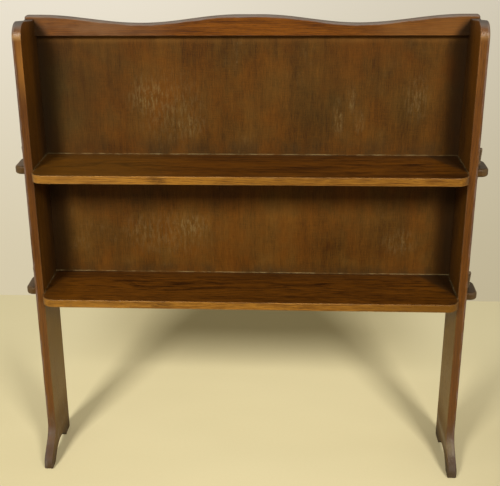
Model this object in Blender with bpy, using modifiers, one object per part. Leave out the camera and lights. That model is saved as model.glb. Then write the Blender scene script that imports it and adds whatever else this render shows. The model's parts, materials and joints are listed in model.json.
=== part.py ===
"""Oak bookcase that knocks down: two plank ends, two shelves held by wedged through tenons,
a waved rail and a thin nailed back. Metres, +Z up, front towards -Y. The origin is on the
floor, under the middle of the bounding box."""

import math

import bmesh
import bpy
from mathutils import Matrix, Vector

# Fits
GAP = 0.0003
CUT_OVERRUN = 0.004
MERGE_DISTANCE = 0.00005

# An eased edge fades out over this length where it enters a joint
EASING_RUN_OUT = 0.003

# Ends
END_SPAN = 0.914
END_HEIGHT = 0.977
END_DEPTH = 0.123
END_THICKNESS = 0.019
END_CORNER_RADIUS = 0.031
END_TOP_FALL = 0.008
END_OUTER_ARRIS = 0.003
END_INNER_ARRIS = 0.0015

# Feet, cut in the lower edge of each end
TOE_REACH = 0.057
TOE_KICK_HEIGHT = 0.085
TOE_NOSE_HEIGHT = 0.010
TOE_NOSE_RADIUS = 0.005
TOE_SOLE = 0.031
HEEL_SOLE = 0.038
HEEL_RADIUS = 0.005
ARCH_RISE = 0.027
TOE_HANDLE_SHARES = (0.47, 0.33)

# Shelves
SHELF_THICKNESS = 0.0175
SHELF_REACH = 0.034
SHELF_CORNER_RADIUS = 0.026
SHELF_ARRIS = 0.0015
UPPER_SHELF_TOP = 0.6825
LOWER_SHELF_TOP = 0.409

# Tenons, and the wedges that lock them
TENON_WIDTH = 0.068
TENON_REACH = 0.028
TENON_ROOT = 0.012
TENON_CORNER_RADIUS = 0.009
TENON_ARRIS = 0.0045
WEDGE_THICKNESS = 0.012
WEDGE_TOP_WIDTH = 0.016
WEDGE_FOOT_WIDTH = 0.011
WEDGE_RISE = 0.034
WEDGE_DROP = 0.016
WEDGE_ARRIS = 0.0012
SLOT_RELIEF = 0.002

# Rail. It stands proud of the ends' top edges beside it.
RAIL_PROUD = 0.008
RAIL_HEIGHT = 0.041
RAIL_THICKNESS = 0.017
RAIL_DIP = 0.0165
RAIL_ARRIS = 0.0035
RAIL_END_RADIUS = 0.006
RAIL_CREST_SHARE = 0.045
RAIL_DIP_SHARE = 0.48
RAIL_SHOULDER_SHARE = 0.94

# Back panel
PANEL_THICKNESS = 0.004
PANEL_RAIL_LAP = 0.012
PANEL_SHELF_LAP = 0.014
PANEL_END_LAP = 0.012

# Panel pins
PIN_RADIUS = 0.0008
PIN_HEAD_RADIUS = 0.0020
PIN_HEAD_THICKNESS = 0.0008
PIN_LENGTH = 0.016
PIN_POINT = 0.002
PIN_SIDE_MARGIN = 0.060
PINS_ACROSS = 5

# Rail screws
SCREW_RADIUS = 0.002
SCREW_HEAD_RADIUS = 0.004
SCREW_HEAD_DEPTH = 0.0026
SCREW_LENGTH = 0.030
SCREW_POINT = 0.007
SCREW_SLOT_WIDTH = 0.001
SCREW_SLOT_DEPTH = 0.001

# Facets
CORNER_STEPS = 8
TOE_STEPS = 12
ARCH_STEPS = 14
WAVE_STEPS = 12
ARRIS_SEGMENTS = 3
PIN_SIDES = 12
SCREW_SIDES = 20
SMOOTH_ANGLE = math.radians(30)

# An edge runs along an axis if its direction has more than this share of the axis
ALONG_SHARE = 0.5

# Places worked out from the sizes above
END_CENTRE_X = (END_SPAN - END_THICKNESS) / 2
INNER_HALF = END_SPAN / 2 - END_THICKNESS
TOTAL_DEPTH = TOE_REACH + END_DEPTH + GAP + PANEL_THICKNESS
END_FRONT_Y = TOE_REACH - TOTAL_DEPTH / 2
END_BACK_Y = END_FRONT_Y + END_DEPTH
TENON_MID_Y = END_FRONT_Y + END_DEPTH / 2
PANEL_FRONT_Y = END_BACK_Y + GAP
PANEL_BACK_Y = PANEL_FRONT_Y + PANEL_THICKNESS
RAIL_TOP = END_HEIGHT - END_TOP_FALL + RAIL_PROUD
RAIL_BOTTOM = RAIL_TOP - RAIL_HEIGHT
RAIL_MID_Y = END_BACK_Y - RAIL_THICKNESS / 2
NOTCH_DEPTH = RAIL_THICKNESS + GAP
NOTCH_FLOOR = RAIL_BOTTOM - GAP
SHELF_TOPS = {"upper": UPPER_SHELF_TOP, "lower": LOWER_SHELF_TOP}
SIDES = {"left": -1, "right": 1}

FACING_BACK = Matrix.Rotation(-math.pi / 2, 4, "X")

CUTS = "cuts"


def clear_scene():
    for thing in list(bpy.data.objects):
        bpy.data.objects.remove(thing, do_unlink=True)


def new_collection(name):
    group = bpy.data.collections.new(name)
    bpy.context.scene.collection.children.link(group)
    return group


def surface(name, colour, roughness, metallic=0.0):
    material = bpy.data.materials.new(name)
    material.use_nodes = True
    shader = material.node_tree.nodes["Principled BSDF"]
    shader.inputs["Base Color"].default_value = (*colour, 1.0)
    shader.inputs["Roughness"].default_value = roughness
    shader.inputs["Metallic"].default_value = metallic
    return material


def arc(centre, radius, start, end, steps):
    """Points along a circle, from one angle in degrees to another."""
    angles = [math.radians(start + (end - start) * i / steps) for i in range(steps + 1)]
    return [(centre[0] + radius * math.cos(a), centre[1] + radius * math.sin(a)) for a in angles]


def arch(start, end, rise, steps):
    """Points of a circular arch that springs from start to end on one level, ends included."""
    half_chord = (end - start) / 2
    radius = (half_chord ** 2 + rise ** 2) / (2 * rise)
    reach = math.degrees(math.asin(half_chord / radius))
    return arc(((start + end) / 2, rise - radius), radius, 90 + reach, 90 - reach, steps)


def bezier(p0, p1, p2, p3, steps):
    """Points of a cubic curve, ends included."""
    points = []
    for i in range(steps + 1):
        t = i / steps
        weights = ((1 - t) ** 3, 3 * t * (1 - t) ** 2, 3 * t ** 2 * (1 - t), t ** 3)
        points.append(tuple(sum(w * p[k] for w, p in zip(weights, (p0, p1, p2, p3))) for k in range(2)))
    return points


class Bench:
    """Holds the collections and surfaces, and makes the objects."""

    def __init__(self):
        self.parts = new_collection("bookcase")
        self.cutters = new_collection("cutters")
        self.cutters.hide_render = True
        self.root = bpy.data.objects.new("bookcase_frame", None)
        self.parts.objects.link(self.root)

    def place(self, name, mesh, matrix, material=None):
        """A part if it has a material, or else a cutter or a shape that is joined to a part."""
        thing = bpy.data.objects.new(name, mesh)
        thing.matrix_world = matrix
        if material is None:
            self.cutters.objects.link(thing)
            thing.hide_render = True
            thing.display_type = "WIRE"
            return thing
        self.parts.objects.link(thing)
        thing.parent = self.root
        if not mesh.materials:
            mesh.materials.append(material)
        return thing

    def block(self, name, low, high, material=None):
        low = Vector(low)
        size = Vector(high) - low
        mesh = bpy.data.meshes.new(name)
        shape = bmesh.new()
        bmesh.ops.create_cube(shape, size=1.0, matrix=Matrix.Diagonal((*size, 1.0)))
        shape.to_mesh(mesh)
        shape.free()
        return self.place(name, mesh, Matrix.Translation(low + size / 2), material)

    def board(self, name, outline, thickness, matrix, material=None):
        """A board cut to an outline in its local XY plane, centred on that plane."""
        curve = bpy.data.curves.new(name + "_outline", "CURVE")
        curve.dimensions = "2D"
        curve.fill_mode = "BOTH"
        curve.extrude = thickness / 2
        spline = curve.splines.new("POLY")
        spline.points.add(len(outline) - 1)
        for point, (x, y) in zip(spline.points, outline):
            point.co = (x, y, 0, 1)
        spline.use_cyclic_u = True
        drawn = bpy.data.objects.new(name + "_outline", curve)
        self.parts.objects.link(drawn)
        view = bpy.context.evaluated_depsgraph_get()
        mesh = bpy.data.meshes.new_from_object(drawn.evaluated_get(view))
        mesh.name = name
        bpy.data.objects.remove(drawn, do_unlink=True)
        shape = bmesh.new()
        shape.from_mesh(mesh)
        bmesh.ops.remove_doubles(shape, verts=shape.verts, dist=MERGE_DISTANCE)
        for side in SIDES.values():
            cap = [face for face in shape.faces if all(v.co.z * side > 0 for v in face.verts)]
            bmesh.ops.dissolve_faces(shape, faces=cap)
        bmesh.ops.recalc_face_normals(shape, faces=shape.faces)
        shape.to_mesh(mesh)
        shape.free()
        mesh.shade_smooth()
        mesh.set_sharp_from_angle(angle=SMOOTH_ANGLE)
        return self.place(name, mesh, matrix, material)

    def turned(self, name, profile, sides, matrix, material=None):
        """A turned shape. Its profile runs from the top of the axis down the outer side."""
        mesh = bpy.data.meshes.new(name)
        shape = bmesh.new()
        points = [shape.verts.new((radius, 0, height)) for radius, height in profile]
        for above, below in zip(points, points[1:]):
            shape.edges.new((above, below))
        shape.to_mesh(mesh)
        shape.free()
        thing = self.place(name, mesh, matrix, material)
        spin = thing.modifiers.new("turning", "SCREW")
        spin.steps = sides
        spin.render_steps = sides
        spin.use_merge_vertices = True
        spin.merge_threshold = MERGE_DISTANCE
        spin.use_smooth_shade = True
        return thing


def ease_edges(thing, radius, share_of_edge, segments=ARRIS_SEGMENTS):
    """Rounds edges over. share_of_edge gives each edge's share of the radius from its middle
    and its direction in the object's own axes."""
    shape = bmesh.new()
    shape.from_mesh(thing.data)
    weight = shape.edges.layers.float.new("bevel_weight_edge")
    for edge in shape.edges:
        ends = [corner.co for corner in edge.verts]
        edge[weight] = share_of_edge((ends[0] + ends[1]) / 2, (ends[1] - ends[0]).normalized())
    shape.to_mesh(thing.data)
    shape.free()
    easing = thing.modifiers.new("eased edges", "BEVEL")
    easing.limit_method = "WEIGHT"
    easing.width = radius
    easing.segments = segments
    easing.use_clamp_overlap = False


def join(thing, addition):
    union = thing.modifiers.new(addition.name, "BOOLEAN")
    union.operation = "UNION"
    union.solver = "EXACT"
    union.object = addition


def cut(thing, cutter):
    """Adds a cutter to the thing's own group, which one modifier cuts in a single go."""
    cuts = thing.modifiers.get(CUTS)
    if cuts is None:
        cuts = thing.modifiers.new(CUTS, "BOOLEAN")
        cuts.operation = "DIFFERENCE"
        cuts.solver = "EXACT"
        cuts.operand_type = "COLLECTION"
        cuts.collection = bpy.data.collections.new(thing.name + "_cutters")
    cuts.collection.objects.link(cutter)


def even_the_shading(thing):
    """Keeps flat faces looking flat beside the eased edges. It goes on after the last cut."""
    normals = thing.modifiers.new("even shading", "WEIGHTED_NORMAL")
    normals.keep_sharp = True


def end_outline():
    """The outline of an end seen from its right: across is from the front edge backwards,
    up is from the floor."""
    toe_upper, toe_lower = (share * TOE_KICK_HEIGHT for share in TOE_HANDLE_SHARES)
    nose_top = (-TOE_REACH, TOE_NOSE_HEIGHT)
    kick = (0, TOE_KICK_HEIGHT)
    kick_handle = (0, TOE_KICK_HEIGHT - toe_upper)
    nose_handle = (-TOE_REACH, TOE_NOSE_HEIGHT + toe_lower)
    nose_centre = (TOE_NOSE_RADIUS - TOE_REACH, TOE_NOSE_RADIUS)
    corner_centre = (END_CORNER_RADIUS, END_HEIGHT - END_CORNER_RADIUS)
    heel_centre = (END_DEPTH - HEEL_RADIUS, HEEL_RADIUS)
    notch_front = END_DEPTH - NOTCH_DEPTH
    outline = arc(nose_centre, TOE_NOSE_RADIUS, 270, 180, CORNER_STEPS)
    outline += bezier(nose_top, nose_handle, kick_handle, kick, TOE_STEPS)
    outline += arc(corner_centre, END_CORNER_RADIUS, 180, 90, CORNER_STEPS)
    outline += [(notch_front, END_HEIGHT - END_TOP_FALL), (notch_front, NOTCH_FLOOR)]
    outline += [(END_DEPTH, NOTCH_FLOOR)]
    outline += arc(heel_centre, HEEL_RADIUS, 0, -90, CORNER_STEPS)
    outline += reversed(arch(TOE_SOLE - TOE_REACH, END_DEPTH - HEEL_SOLE, ARCH_RISE, ARCH_STEPS))
    return outline


def make_end(bench, side_name, oak):
    side = SIDES[side_name]
    upright = Matrix(((0, 0, 1, 0), (1, 0, 0, 0), (0, 1, 0, 0), (0, 0, 0, 1)))
    stand = Matrix.Translation((side * END_CENTRE_X, END_FRONT_Y, 0)) @ upright
    end = bench.board(side_name + "_end", end_outline(), END_THICKNESS, stand, oak)
    notch_front = END_DEPTH - NOTCH_DEPTH

    def share(middle, direction):
        on_notch = middle.y > NOTCH_FLOOR - GAP and middle.x > notch_front - GAP
        if abs(direction.z) > ALONG_SHARE or on_notch:
            return 0
        return 1 if middle.z * side > 0 else END_INNER_ARRIS / END_OUTER_ARRIS

    ease_edges(end, END_OUTER_ARRIS, share)
    for shelf_name, top in SHELF_TOPS.items():
        half_width = TENON_WIDTH / 2 + GAP
        half_length = END_THICKNESS / 2 + CUT_OVERRUN
        low = (side * END_CENTRE_X - half_length, TENON_MID_Y - half_width, top - SHELF_THICKNESS)
        high = (side * END_CENTRE_X + half_length, TENON_MID_Y + half_width, top)
        cut(end, bench.block(f"{side_name}_{shelf_name}_mortise", low, high))
    return end


def shelf_outline():
    """The plan of a shelf without its tenons, front edge towards -Y, y as in the whole model."""
    front = END_FRONT_Y - SHELF_REACH
    shoulder = INNER_HALF - GAP
    corner_centre = (shoulder - SHELF_CORNER_RADIUS, front + SHELF_CORNER_RADIUS)
    right = arc(corner_centre, SHELF_CORNER_RADIUS, -90, 0, CORNER_STEPS)
    right += [(shoulder, END_FRONT_Y), (shoulder, END_FRONT_Y + EASING_RUN_OUT), (shoulder, END_BACK_Y)]
    return right + [(-x, y) for x, y in reversed(right)]


def tenon_outline(side):
    """The plan of a tenon, from its root inside the shelf to its rounded tip."""
    root = INNER_HALF - GAP - TENON_ROOT
    outside = END_SPAN / 2
    tip_centre = outside + TENON_REACH - TENON_CORNER_RADIUS
    front = TENON_MID_Y - TENON_WIDTH / 2
    back = TENON_MID_Y + TENON_WIDTH / 2
    outline = [(root, front), (outside - EASING_RUN_OUT, front), (outside, front)]
    outline += arc((tip_centre, front + TENON_CORNER_RADIUS), TENON_CORNER_RADIUS, -90, 0, CORNER_STEPS)
    outline += arc((tip_centre, back - TENON_CORNER_RADIUS), TENON_CORNER_RADIUS, 0, 90, CORNER_STEPS)
    outline += [(outside, back), (outside - EASING_RUN_OUT, back), (root, back)]
    return [(side * x, y) for x, y in outline]


def make_shelf(bench, shelf_name, oak):
    """A shelf. Its tenons are planed thinner than the board by the fit on each face."""
    top = SHELF_TOPS[shelf_name]
    level = Matrix.Translation((0, 0, top - SHELF_THICKNESS / 2))
    shelf = bench.board(shelf_name + "_shelf", shelf_outline(), SHELF_THICKNESS, level, oak)

    def share_on_shelf(middle, direction):
        in_front = middle.y < END_FRONT_Y
        along_the_back = middle.y > END_BACK_Y - GAP
        return 1 if abs(direction.z) < ALONG_SHARE and (in_front or along_the_back) else 0

    def share_on_tenon(middle, direction):
        return 1 if abs(direction.z) < ALONG_SHARE and abs(middle.x) > END_SPAN / 2 else 0

    ease_edges(shelf, SHELF_ARRIS, share_on_shelf)
    for side_name, side in SIDES.items():
        name = f"{shelf_name}_{side_name}"
        tenon = bench.board(name + "_tenon", tenon_outline(side), SHELF_THICKNESS - 2 * GAP, level)
        ease_edges(tenon, TENON_ARRIS, share_on_tenon)
        join(shelf, tenon)
    for side_name, side in SIDES.items():
        name = f"{shelf_name}_{side_name}_slot"
        low = top - SHELF_THICKNESS - CUT_OVERRUN
        cut(shelf, tapered_block(bench, name, side, top, -SLOT_RELIEF, GAP, low, top + CUT_OVERRUN))
    return shelf


def tapered_block(bench, name, side, shelf_top, inner, room, low, high, material=None):
    """A wedge, or with some room the cutter of its slot. inner is its inner face from the
    outer face of the end, and its sloping face follows the wedge's taper at any height."""
    foot = shelf_top - SHELF_THICKNESS - WEDGE_DROP
    slope = (WEDGE_TOP_WIDTH - WEDGE_FOOT_WIDTH) / (shelf_top + WEDGE_RISE - foot)
    thickness = WEDGE_THICKNESS + 2 * room
    middle_z = (low + high) / 2
    mesh = bpy.data.meshes.new(name)
    shape = bmesh.new()
    bmesh.ops.create_cube(shape, size=1.0)
    for corner in shape.verts:
        z = high if corner.co.z > 0 else low
        outer = GAP + WEDGE_FOOT_WIDTH + slope * (z - foot) + room
        x = side * (outer if corner.co.x * side > 0 else inner)
        corner.co = (x, corner.co.y * thickness, z - middle_z)
    shape.to_mesh(mesh)
    shape.free()
    stand = Matrix.Translation((side * END_SPAN / 2, TENON_MID_Y, middle_z))
    return bench.place(name, mesh, stand, material)


def make_wedge(bench, shelf_name, side_name, oak):
    top = SHELF_TOPS[shelf_name]
    foot = top - SHELF_THICKNESS - WEDGE_DROP
    name = f"wedge_{shelf_name}_{side_name}"
    wedge = tapered_block(bench, name, SIDES[side_name], top, GAP, 0, foot, top + WEDGE_RISE, oak)
    ease_edges(wedge, WEDGE_ARRIS, lambda middle, direction: 1)


def rail_wave(share):
    """How far the rail's top edge has dropped, as a share of the dip, at a share of its half
    length from the middle."""
    if share < RAIL_DIP_SHARE:
        run = (share - RAIL_CREST_SHARE) / (RAIL_DIP_SHARE - RAIL_CREST_SHARE)
    else:
        run = (RAIL_SHOULDER_SHARE - share) / (RAIL_SHOULDER_SHARE - RAIL_DIP_SHARE)
    run = min(max(run, 0), 1)
    return (1 - math.cos(math.pi * run)) / 2


def make_rail(bench, oak):
    half_length = END_SPAN / 2
    falling = [RAIL_DIP_SHARE * i / WAVE_STEPS for i in range(WAVE_STEPS)]
    last_share = 1 - RAIL_END_RADIUS / half_length
    rising = [RAIL_DIP_SHARE + (last_share - RAIL_DIP_SHARE) * i / WAVE_STEPS for i in range(WAVE_STEPS)]
    right = [(share * half_length, RAIL_TOP - RAIL_DIP * rail_wave(share)) for share in falling + rising]
    end_centre = (half_length - RAIL_END_RADIUS, RAIL_TOP - RAIL_END_RADIUS)
    right += arc(end_centre, RAIL_END_RADIUS, 90, 0, CORNER_STEPS)
    left = [(-x, z) for x, z in reversed(right[1:])]
    outline = [(half_length, RAIL_BOTTOM), (-half_length, RAIL_BOTTOM)] + left + right
    upright = Matrix.Translation((0, RAIL_MID_Y, 0)) @ Matrix.Rotation(math.pi / 2, 4, "X")
    rail = bench.board("top_rail", outline, RAIL_THICKNESS, upright, oak)

    def share_on_top(middle, direction):
        on_top = middle.y > RAIL_TOP - RAIL_DIP - RAIL_END_RADIUS
        return 1 if on_top and abs(direction.z) < ALONG_SHARE else 0

    ease_edges(rail, RAIL_ARRIS, share_on_top)
    return rail


def make_back_panel(bench, plywood):
    half_width = INNER_HALF + PANEL_END_LAP
    bottom = LOWER_SHELF_TOP - PANEL_SHELF_LAP
    low = (-half_width, PANEL_FRONT_Y, bottom)
    high = (half_width, PANEL_BACK_Y, RAIL_BOTTOM + PANEL_RAIL_LAP)
    return bench.block("back_panel", low, high, plywood)


def pin_profile(room):
    """A panel pin, or with some room its hole, from the top of its head down to its point."""
    head = PIN_HEAD_RADIUS + room
    shank = PIN_RADIUS + room
    above = CUT_OVERRUN if room else 0
    neck = -PIN_HEAD_THICKNESS - room
    tip = -PIN_LENGTH - room
    return [(0, above), (head, above), (head, neck), (shank, neck), (shank, tip + PIN_POINT), (0, tip)]


def drive_pin(bench, name, x, z, panel, wood, steel):
    """A pin through the panel into the piece in front of it, and its hole in both."""
    place = Matrix.Translation((x, PANEL_BACK_Y, z)) @ FACING_BACK
    hole = bench.turned(name + "_hole", pin_profile(GAP), PIN_SIDES, place)
    cut(panel, hole)
    cut(wood, hole)
    bench.turned(name, pin_profile(0), PIN_SIDES, place, steel)


def pin_the_panel(bench, panel, rail, shelves, ends, steel):
    half_run = INNER_HALF - PIN_SIDE_MARGIN
    across = [half_run * (2 * i / (PINS_ACROSS - 1) - 1) for i in range(PINS_ACROSS)]
    panel_bottom = LOWER_SHELF_TOP - PANEL_SHELF_LAP
    rows = {
        "rail": (rail, RAIL_BOTTOM + PANEL_RAIL_LAP / 2),
        "upper": (shelves["upper"], UPPER_SHELF_TOP - SHELF_THICKNESS / 2),
        "lower": (shelves["lower"], (panel_bottom + LOWER_SHELF_TOP) / 2),
    }
    for row_name, (wood, z) in rows.items():
        for i, x in enumerate(across, start=1):
            drive_pin(bench, f"panel_pin_{row_name}_{i}", x, z, panel, wood, steel)
    heights = {
        "top": (UPPER_SHELF_TOP + RAIL_BOTTOM) / 2,
        "low": (LOWER_SHELF_TOP + UPPER_SHELF_TOP - SHELF_THICKNESS) / 2,
    }
    for side_name, side in SIDES.items():
        x = side * (INNER_HALF + PANEL_END_LAP / 2)
        for height_name, z in heights.items():
            name = f"panel_pin_{side_name}_{height_name}"
            drive_pin(bench, name, x, z, panel, ends[side_name], steel)


def screw_profile(room):
    """A countersunk screw, or with some room its hole, from the top of its head to its point.
    The hole's cone runs on past the face it is cut in."""
    shank = SCREW_RADIUS + room
    above = CUT_OVERRUN if room else 0
    neck = -SCREW_HEAD_DEPTH - room
    tip = -SCREW_LENGTH - room
    head = shank + (SCREW_HEAD_RADIUS - SCREW_RADIUS) * (above - neck) / -neck
    return [(0, above), (head, above), (shank, neck), (shank, tip + SCREW_POINT), (0, tip)]


def screw_the_rail(bench, rail, ends, steel):
    z = RAIL_BOTTOM + RAIL_HEIGHT / 2
    for side_name, side in SIDES.items():
        place = Matrix.Translation((side * END_CENTRE_X, END_BACK_Y, z)) @ FACING_BACK
        name = "rail_screw_" + side_name
        hole = bench.turned(name + "_hole", screw_profile(GAP), SCREW_SIDES, place)
        cut(rail, hole)
        cut(ends[side_name], hole)
        screw = bench.turned(name, screw_profile(0), SCREW_SIDES, place, steel)
        centre = Vector((side * END_CENTRE_X, END_BACK_Y, z))
        half = Vector((SCREW_HEAD_RADIUS + CUT_OVERRUN, SCREW_SLOT_DEPTH, SCREW_SLOT_WIDTH / 2))
        cut(screw, bench.block(name + "_slot", centre - half, centre + half))


def main():
    clear_scene()
    bench = Bench()
    end_oak = surface("end oak", (0.105, 0.045, 0.020), 0.42)
    shelf_oak = surface("shelf oak", (0.150, 0.070, 0.026), 0.40)
    rail_oak = surface("rail oak", (0.135, 0.062, 0.025), 0.42)
    wedge_oak = surface("wedge oak", (0.090, 0.042, 0.020), 0.50)
    plywood = surface("stained plywood", (0.085, 0.042, 0.018), 0.55)
    pin_steel = surface("pin steel", (0.26, 0.23, 0.20), 0.50, 1.0)
    screw_steel = surface("screw steel", (0.33, 0.30, 0.26), 0.42, 1.0)

    ends = {name: make_end(bench, name, end_oak) for name in SIDES}
    shelves = {name: make_shelf(bench, name, shelf_oak) for name in SHELF_TOPS}
    for shelf_name in SHELF_TOPS:
        for side_name in SIDES:
            make_wedge(bench, shelf_name, side_name, wedge_oak)
    rail = make_rail(bench, rail_oak)
    panel = make_back_panel(bench, plywood)
    pin_the_panel(bench, panel, rail, shelves, ends, pin_steel)
    screw_the_rail(bench, rail, ends, screw_steel)
    for board in (*ends.values(), *shelves.values(), rail, panel):
        even_the_shading(board)


main()
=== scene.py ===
"""The looks of the oak bookcase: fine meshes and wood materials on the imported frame."""

import json
import math

import bmesh
import bpy
from mathutils import Euler, Matrix, Vector, noise

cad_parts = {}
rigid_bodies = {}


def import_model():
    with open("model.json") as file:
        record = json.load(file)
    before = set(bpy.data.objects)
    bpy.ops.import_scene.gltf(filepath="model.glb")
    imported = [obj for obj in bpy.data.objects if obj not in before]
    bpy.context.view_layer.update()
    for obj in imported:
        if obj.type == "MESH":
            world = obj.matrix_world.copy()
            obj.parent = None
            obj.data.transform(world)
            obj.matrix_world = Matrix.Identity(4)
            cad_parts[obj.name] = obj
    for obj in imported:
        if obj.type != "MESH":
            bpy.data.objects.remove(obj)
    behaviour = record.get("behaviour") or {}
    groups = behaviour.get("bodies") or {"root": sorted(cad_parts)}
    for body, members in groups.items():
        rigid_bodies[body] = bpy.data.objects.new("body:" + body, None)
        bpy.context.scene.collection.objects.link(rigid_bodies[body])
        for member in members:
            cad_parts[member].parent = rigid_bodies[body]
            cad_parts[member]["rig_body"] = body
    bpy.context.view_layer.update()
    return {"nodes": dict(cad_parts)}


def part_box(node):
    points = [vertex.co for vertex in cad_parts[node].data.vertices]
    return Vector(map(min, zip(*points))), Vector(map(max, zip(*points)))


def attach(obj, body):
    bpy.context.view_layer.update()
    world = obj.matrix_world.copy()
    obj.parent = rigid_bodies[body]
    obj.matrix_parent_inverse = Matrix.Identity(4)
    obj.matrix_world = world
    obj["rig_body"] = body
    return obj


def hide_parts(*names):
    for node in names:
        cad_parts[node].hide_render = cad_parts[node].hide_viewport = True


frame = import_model()

# The camera, fitted to the photograph
CAMERA_PLACE = (0.06749, -1.85185, 1.25061)
CAMERA_TURN_DEGREES = (68.35828, 0.56453, 3.05391)
CAMERA_LENS = 68.06208
CAMERA_SENSOR = 36
CAMERA_SHIFT = 0.0387185

# Shapes that the frame's boxes don't give, in metres. They are those of the solids, but the
# tenons' corners are rounder.
TOE_REACH = 0.057
TOE_KICK_HEIGHT = 0.085
TOE_NOSE_HEIGHT = 0.010
TOE_NOSE_RADIUS = 0.005
TOE_SOLE = 0.031
TOE_HANDLE_SHARES = (0.47, 0.33)
HEEL_SOLE = 0.038
HEEL_RADIUS = 0.005
ARCH_RISE = 0.027
END_CORNER_RADIUS = 0.031
END_TOP_FALL = 0.008
SHELF_CORNER_RADIUS = 0.026
TENON_WIDTH = 0.068
TENON_CORNER_RADIUS = 0.015
WEDGE_FOOT_WIDTH = 0.011
RAIL_DIP = 0.0165
RAIL_END_RADIUS = 0.006
RAIL_CREST_SHARE = 0.045
RAIL_DIP_SHARE = 0.48
RAIL_SHOULDER_SHARE = 0.94
RAIL_LOWER_SHARE = 0.25
SCREW_HEAD_RADIUS = 0.004
SCREW_RADIUS = 0.002
SCREW_HEAD_DEPTH = 0.0026
FIT = 0.0003

# Arrises: their radii, and how they are worn and nicked
END_OUTER_ARRIS = 0.0043
END_INNER_ARRIS = 0.0016
SHELF_ARRIS = 0.0017
TENON_ARRIS = 0.0048
RAIL_ARRIS = 0.0046
WEDGE_ARRIS = 0.0013
CRISP_ARRIS = 0.0003
WEAR_SHARE = 0.2
WEAR_LENGTH = 0.035
NICK_DEPTH = 0.0006
NICK_LENGTH = 0.004
NICK_THRESHOLD = 0.45
BRIM_WEAR = 0.35

# Meshes: lengths, shares of the arris radius, counts of steps, and shading
ALONG_STEP = 0.004
SKIRT = 0.0008
EASING_RUN_OUT = 0.012
OVERRUN = 0.004
SMALL_CORNER_SHARE = 0.76
BACK_CORNER_SHARE = 0.5
ARRIS_RINGS = 6
SMALL_CORNER_STEPS = 10
TENON_CORNER_STEPS = 12
SHELF_CORNER_STEPS = 20
END_CORNER_STEPS = 24
TOE_STEPS = 36
ARCH_STEPS = 40
WAVE_STEPS = 120
SCREW_SIDES = 48
MITRE_LIMIT = 0.4
FLAT_WEIGHT = 80

SHELVES = ("upper_shelf", "lower_shelf")
left_low, left_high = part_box("left_end")
rail_low, rail_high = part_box("top_rail")
END_THICKNESS = left_high.x - left_low.x
END_HEIGHT = left_high.z
END_FRONT_Y = left_low.y + TOE_REACH
END_BACK_Y = left_high.y
END_DEPTH = END_BACK_Y - END_FRONT_Y
INNER_HALF = -left_high.x
OUTER_HALF = -left_low.x
TENON_MID_Y = (END_FRONT_Y + END_BACK_Y) / 2
RAIL_THICKNESS = rail_high.y - rail_low.y


# Outlines

def arc(centre, radius, start, end, steps):
    angles = [math.radians(start + (end - start) * i / steps) for i in range(steps + 1)]
    return [(centre[0] + radius * math.cos(a), centre[1] + radius * math.sin(a)) for a in angles]


def bezier(p0, p1, p2, p3, steps):
    points = []
    for i in range(steps + 1):
        t = i / steps
        weights = ((1 - t) ** 3, 3 * t * (1 - t) ** 2, 3 * t ** 2 * (1 - t), t ** 3)
        points.append(tuple(sum(w * p[k] for w, p in zip(weights, (p0, p1, p2, p3))) for k in range(2)))
    return points


def eased(points, share=1.0):
    """Points with the share of the arris radius that they take."""
    return [(x, y, share) for x, y in points]


def end_outline():
    """An end seen from its right: across from the front edge backwards, up from the floor."""
    upper, lower = (share * TOE_KICK_HEIGHT for share in TOE_HANDLE_SHARES)
    nose_centre = (TOE_NOSE_RADIUS - TOE_REACH, TOE_NOSE_RADIUS)
    corner_centre = (END_CORNER_RADIUS, END_HEIGHT - END_CORNER_RADIUS)
    heel_centre = (END_DEPTH - HEEL_RADIUS, HEEL_RADIUS)
    notch_front = END_DEPTH - RAIL_THICKNESS - FIT
    notch_floor = rail_low.z - FIT
    half_chord = (END_DEPTH - HEEL_SOLE - TOE_SOLE + TOE_REACH) / 2
    arch_radius = (half_chord ** 2 + ARCH_RISE ** 2) / (2 * ARCH_RISE)
    arch_reach = math.degrees(math.asin(half_chord / arch_radius))
    arch_centre = (TOE_SOLE - TOE_REACH + half_chord, ARCH_RISE - arch_radius)
    outline = eased(arc(nose_centre, TOE_NOSE_RADIUS, 270, 180, SMALL_CORNER_STEPS), SMALL_CORNER_SHARE)
    outline += eased(bezier((-TOE_REACH, TOE_NOSE_HEIGHT), (-TOE_REACH, TOE_NOSE_HEIGHT + lower),
                            (0, TOE_KICK_HEIGHT - upper), (0, TOE_KICK_HEIGHT), TOE_STEPS))
    outline += eased(arc(corner_centre, END_CORNER_RADIUS, 180, 90, END_CORNER_STEPS))
    outline += eased([(notch_front - EASING_RUN_OUT, END_HEIGHT - END_TOP_FALL)])
    outline += eased([(notch_front, END_HEIGHT - END_TOP_FALL), (notch_front, notch_floor)], 0)
    outline += eased([(END_DEPTH, notch_floor)], 0)
    outline += eased([(END_DEPTH, notch_floor - EASING_RUN_OUT)])
    outline += eased(arc(heel_centre, HEEL_RADIUS, 0, -90, SMALL_CORNER_STEPS), SMALL_CORNER_SHARE)
    outline += eased(arc(arch_centre, arch_radius, 90 - arch_reach, 90 + arch_reach, ARCH_STEPS))
    return outline


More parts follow.
